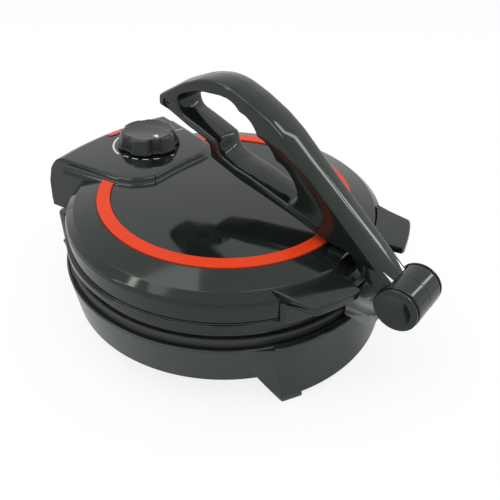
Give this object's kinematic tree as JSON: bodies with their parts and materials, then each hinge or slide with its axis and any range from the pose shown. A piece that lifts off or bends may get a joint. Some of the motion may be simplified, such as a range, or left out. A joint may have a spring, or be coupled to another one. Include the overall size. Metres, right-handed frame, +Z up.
{
  "type": "electric roti maker",
  "caption": "Round electric flat-bread cooker with a hinged lid, a control knob and a long swinging press handle.",
  "frame": {"origin": "on the table, under the middle of the object's outline in X and Y", "axes": "+Z up, -Y towards the front where the handle's axle is, +X to the right seen from the front"},
  "size_m": [0.288, 0.3701, 0.2146],
  "materials": {
    "gloss_black_plastic": "high gloss moulded black",
    "matte_black_plastic": "matte moulded black",
    "red_trim": "satin orange-red",
    "coated_plate": "dark non-stick coating on cast aluminium",
    "cast_bracket": "pale grey die casting",
    "plated_steel": "zinc plated",
    "reflector_sheet": "bright sheet",
    "rubber_pad": "soft black rubber",
    "ceramic": "ceramic block",
    "fuse_sleeve": "woven glass sleeve",
    "red_lens": "clear red plastic",
    "green_lens": "clear green plastic",
    "lamp_glass": "glass bulb",
    "white_mark": "white inlay"
  },
  "bodies": {
    "base": {"base_shell": "gloss_black_plastic", "base_rim_ring": "matte_black_plastic", "base_bottom_cover": "matte_black_plastic", "bottom_screw_1": "plated_steel", "bottom_screw_2": "plated_steel", "bottom_screw_3": "plated_steel", "bottom_screw_4": "plated_steel", "foot_pad_1": "rubber_pad", "foot_pad_2": "rubber_pad", "foot_pad_3": "rubber_pad", "foot_pad_4": "rubber_pad", "lower_hot_plate": "coated_plate", "lower_heating_element": "plated_steel", "lower_reflector": "reflector_sheet", "lower_plate_stud_1": "plated_steel", "lower_plate_stud_2": "plated_steel", "lower_plate_stud_3": "plated_steel", "terminal_block": "ceramic", "thermal_fuse": "fuse_sleeve", "cord_gland": "matte_black_plastic", "hinge_bracket_left": "plated_steel", "hinge_bracket_right": "plated_steel", "hinge_pin_left": "plated_steel", "hinge_pin_right": "plated_steel", "hinge_screw_left": "plated_steel", "hinge_screw_right": "plated_steel", "bracket_screw_left": "plated_steel", "bracket_screw_right": "plated_steel", "handle_bracket": "cast_bracket", "handle_axle": "plated_steel"},
    "lid": {"lid_shell": "gloss_black_plastic", "trim_ring": "red_trim", "press_pad": "gloss_black_plastic", "upper_hot_plate": "coated_plate", "upper_heating_element": "plated_steel", "upper_reflector": "reflector_sheet", "upper_plate_stud_1": "plated_steel", "upper_plate_stud_2": "plated_steel", "upper_plate_stud_3": "plated_steel", "thermostat_body": "plated_steel", "thermostat_nut": "plated_steel", "red_lamp_lens": "red_lens", "green_lamp_lens": "green_lens", "red_neon_lamp": "lamp_glass", "green_neon_lamp": "lamp_glass", "housing_floor": "matte_black_plastic", "floor_screw_left": "plated_steel", "floor_screw_right": "plated_steel"},
    "handle": {"handle_left_shell": "gloss_black_plastic", "handle_right_shell": "gloss_black_plastic", "handle_core": "plated_steel", "handle_screw_rear": "plated_steel", "handle_screw_front": "plated_steel", "barrel_collar_left": "matte_black_plastic", "barrel_collar_right": "matte_black_plastic", "barrel_cap_left": "gloss_black_plastic", "barrel_cap_right": "gloss_black_plastic"},
    "knob": {"knob": "matte_black_plastic", "knob_pointer": "white_mark", "thermostat_shaft": "plated_steel"}
  },
  "joints": [
    {"name": "handle_hinge", "type": "hinge", "parent": "base", "child": "handle", "pos_m": [0, -0.16615, 0.0905], "axis": [1, 0, 0], "range_deg": [0, 105]},
    {"name": "lid_hinge", "type": "hinge", "parent": "base", "child": "lid", "pos_m": [0, 0.17485, 0.0585], "axis": [-1, 0, 0], "range_deg": [0, 95]},
    {"name": "knob_turn", "type": "hinge", "parent": "lid", "child": "knob", "pos_m": [0.009, 0.12185, 0.1177], "axis": [0, 0, -1], "range_deg": [0, 270]}
  ],
  "couplings": [
    {"joint": "lid_hinge", "follows": "handle_hinge", "ratio": 0.2}
  ]
}
